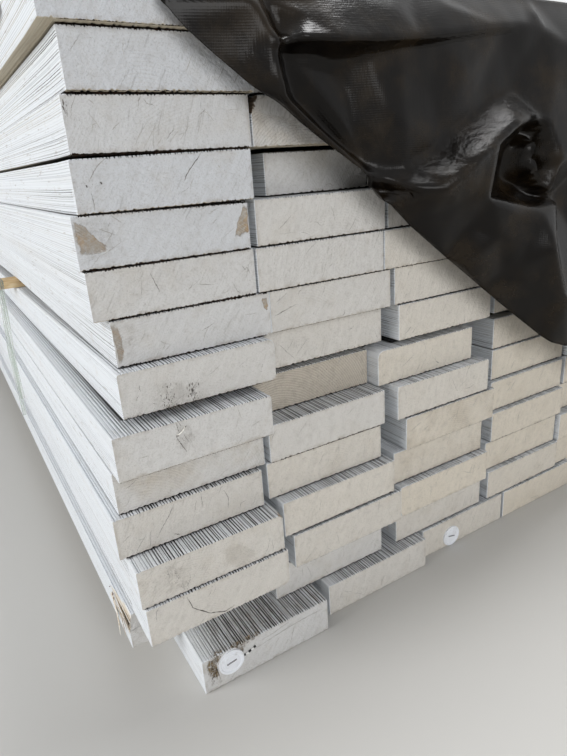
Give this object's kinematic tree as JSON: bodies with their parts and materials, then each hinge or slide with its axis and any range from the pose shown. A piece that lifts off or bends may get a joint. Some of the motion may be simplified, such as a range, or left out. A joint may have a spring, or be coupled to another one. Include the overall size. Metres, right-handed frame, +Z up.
{
  "type": "stack of lumber",
  "caption": "Two packs of painted framing boards stacked flat in rows with ragged ends, laths between the packs and a dark cover sheet pulled back from one corner.",
  "frame": {"origin": "centre of the bounding box's underside, on the ground", "axes": "+X across the board ends to the right as seen from the front ends, +Y along the boards away from the front ends, +Z up"},
  "size_m": [1.198, 2.5044, 0.583],
  "materials": {
    "painted_board": "painted white all over, lengthwise grooves, dirty and scuffed, matte",
    "lath": "bare rough-sawn",
    "cover_sheet": "black woven plastic sheet, slightly glossy, creased",
    "strap": "thin pale plastic strap, a little see-through",
    "cap": "moulded, smooth",
    "staple": "bright wire gone dark"
  },
  "bodies": {
    "root": {"layer_01": "painted_board", "layer_02": "painted_board", "layer_03": "painted_board", "layer_04": "painted_board", "layer_05": "painted_board", "layer_06": "painted_board", "layer_07": "painted_board", "layer_08": "painted_board", "layer_09": "painted_board", "layer_10": "painted_board", "layer_11": "painted_board", "layer_12": "painted_board", "layer_13": "painted_board", "layer_14": "painted_board", "layer_15": "painted_board", "laths": "lath", "wrap": "cover_sheet", "strap": "strap", "cap_washers": "cap", "staples": "staple"}
  },
  "joints": []
}
